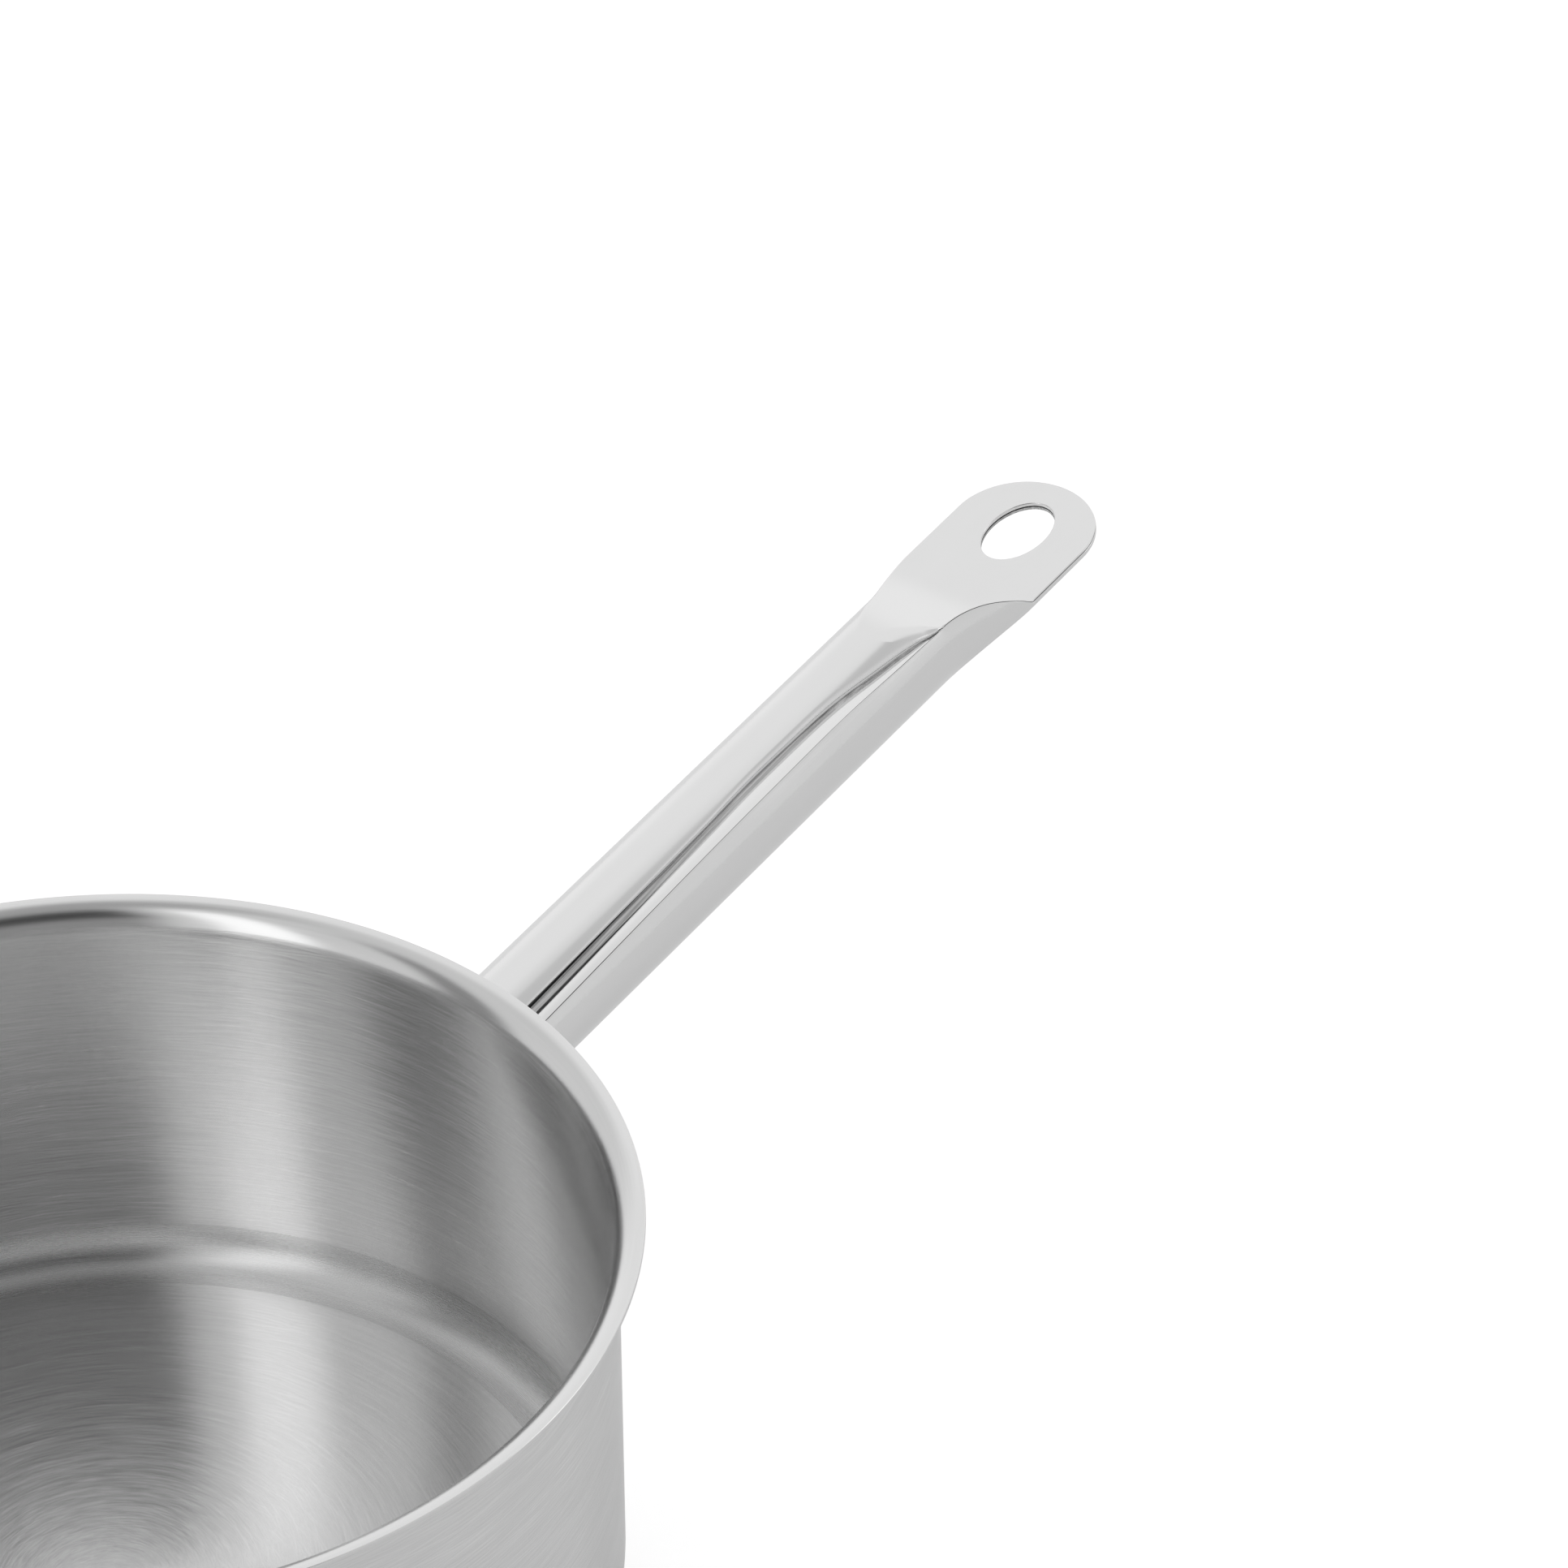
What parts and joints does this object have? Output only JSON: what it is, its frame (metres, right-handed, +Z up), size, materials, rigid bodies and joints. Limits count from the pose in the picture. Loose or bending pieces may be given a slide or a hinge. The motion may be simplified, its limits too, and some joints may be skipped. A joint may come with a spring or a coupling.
{
  "type": "saucepan",
  "caption": "Straight-sided stainless steel saucepan with a flared pouring rim, an enclosed base disc and a long tubular handle pressed into a flat tab with an oval hanging hole.",
  "frame": {"origin": "centre of the flat underside, on the surface that the pan stands on", "axes": "+X along the handle away from the pan, +Z up out of the pan"},
  "size_m": [0.3848, 0.191, 0.0924],
  "materials": {
    "pan_steel": "brushed round the inside, satin on the rim",
    "base_steel": "satin",
    "core_aluminium": "plain",
    "handle_steel": "polished satin",
    "weld_steel": "ground weld"
  },
  "bodies": {
    "root": {"pan_body": "pan_steel", "base_core": "core_aluminium", "base_cap": "base_steel", "root_plate": "handle_steel", "handle": "handle_steel", "weld_bead": "weld_steel"}
  },
  "joints": []
}
